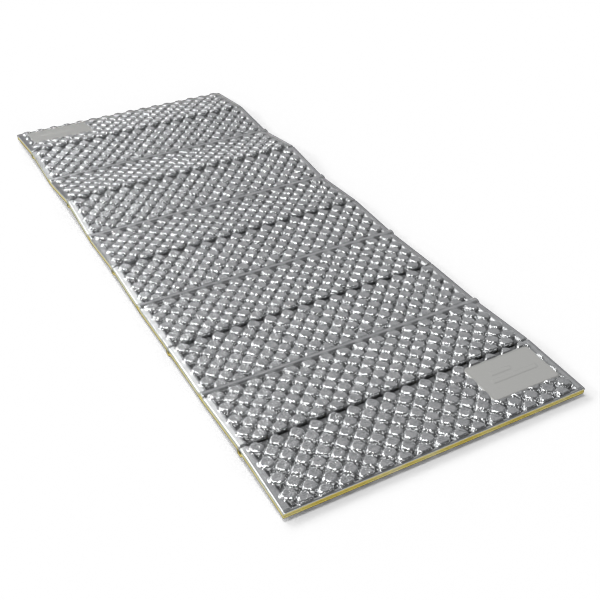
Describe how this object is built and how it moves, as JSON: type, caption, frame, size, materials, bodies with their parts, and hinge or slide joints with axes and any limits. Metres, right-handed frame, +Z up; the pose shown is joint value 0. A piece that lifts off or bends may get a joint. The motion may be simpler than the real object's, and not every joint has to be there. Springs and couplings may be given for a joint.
{
  "type": "foam sleeping pad",
  "caption": "Closed-cell foam sleeping pad with a bumped silver face and a yellow underside, creased across its width so that it folds up like an accordion.",
  "frame": {"origin": "middle of the ground under the pad", "axes": "+X across the pad's width, +Y along its length towards panel 1, +Z up"},
  "size_m": [0.51, 1.3094, 0.0365],
  "materials": {
    "yellow_foam": "matte closed-cell polyethylene foam",
    "silver_film": "satin crinkled metallised film",
    "foam_crease": "matte pressed foam",
    "film_crease": "pressed foam under metallised film",
    "label_field": "smooth satin metallised film, pressed flat"
  },
  "bodies": {
    "panel_01": {"foam_panel_01": "yellow_foam", "film_panel_01": "silver_film", "label_field_far": "label_field"},
    "panel_02": {"foam_panel_02": "yellow_foam", "film_panel_02": "silver_film", "crease_01": "foam_crease"},
    "panel_03": {"foam_panel_03": "yellow_foam", "film_panel_03": "silver_film", "crease_02": "film_crease"},
    "panel_04": {"foam_panel_04": "yellow_foam", "film_panel_04": "silver_film", "crease_03": "foam_crease", "crease_04": "film_crease"},
    "panel_05": {"foam_panel_05": "yellow_foam", "film_panel_05": "silver_film", "crease_05": "foam_crease"},
    "panel_06": {"foam_panel_06": "yellow_foam", "film_panel_06": "silver_film", "crease_06": "film_crease"},
    "panel_07": {"foam_panel_07": "yellow_foam", "film_panel_07": "silver_film", "crease_07": "foam_crease"},
    "panel_08": {"foam_panel_08": "yellow_foam", "film_panel_08": "silver_film", "crease_08": "film_crease"},
    "panel_09": {"foam_panel_09": "yellow_foam", "film_panel_09": "silver_film", "crease_09": "foam_crease"},
    "panel_10": {"foam_panel_10": "yellow_foam", "film_panel_10": "silver_film", "label_field_near": "label_field"}
  },
  "joints": [
    {"name": "fold_01", "type": "hinge", "parent": "panel_02", "child": "panel_01", "pos_m": [0, 0.52376, 0.01184], "axis": [-1, 0, 0], "range_deg": [-10.6, 169.4], "deforming": ["crease_01"]},
    {"name": "fold_02", "type": "hinge", "parent": "panel_03", "child": "panel_02", "pos_m": [0, 0.39242, 0.02024], "axis": [1, 0, 0], "range_deg": [-12.6, 167.4], "deforming": ["crease_02"]},
    {"name": "fold_03", "type": "hinge", "parent": "panel_04", "child": "panel_03", "pos_m": [0, 0.26087, 0.01643], "axis": [-1, 0, 0], "range_deg": [-14.6, 165.4], "deforming": ["crease_03"]},
    {"name": "fold_04", "type": "hinge", "parent": "panel_04", "child": "panel_05", "pos_m": [0, 0.12932, 0.02024], "axis": [-1, 0, 0], "range_deg": [-10.4, 169.6], "deforming": ["crease_04"]},
    {"name": "fold_05", "type": "hinge", "parent": "panel_05", "child": "panel_06", "pos_m": [0, -0.0016, 0.0068], "axis": [1, 0, 0], "range_deg": [-6.2, 173.8], "deforming": ["crease_05"]},
    {"name": "fold_06", "type": "hinge", "parent": "panel_06", "child": "panel_07", "pos_m": [0, -0.13252, 0.02024], "axis": [-1, 0, 0], "range_deg": [-4.2, 175.8], "deforming": ["crease_06"]},
    {"name": "fold_07", "type": "hinge", "parent": "panel_07", "child": "panel_08", "pos_m": [0, -0.26289, 0.00224], "axis": [1, 0, 0], "range_deg": [-2.2, 177.8], "deforming": ["crease_07"]},
    {"name": "fold_08", "type": "hinge", "parent": "panel_08", "child": "panel_09", "pos_m": [0, -0.39326, 0.02024], "axis": [-1, 0, 0], "range_deg": [-3.75, 176.25], "deforming": ["crease_08"]},
    {"name": "fold_09", "type": "hinge", "parent": "panel_09", "child": "panel_10", "pos_m": [0, -0.52407, 0.00577], "axis": [1, 0, 0], "range_deg": [-5.3, 174.7], "deforming": ["crease_09"]}
  ]
}
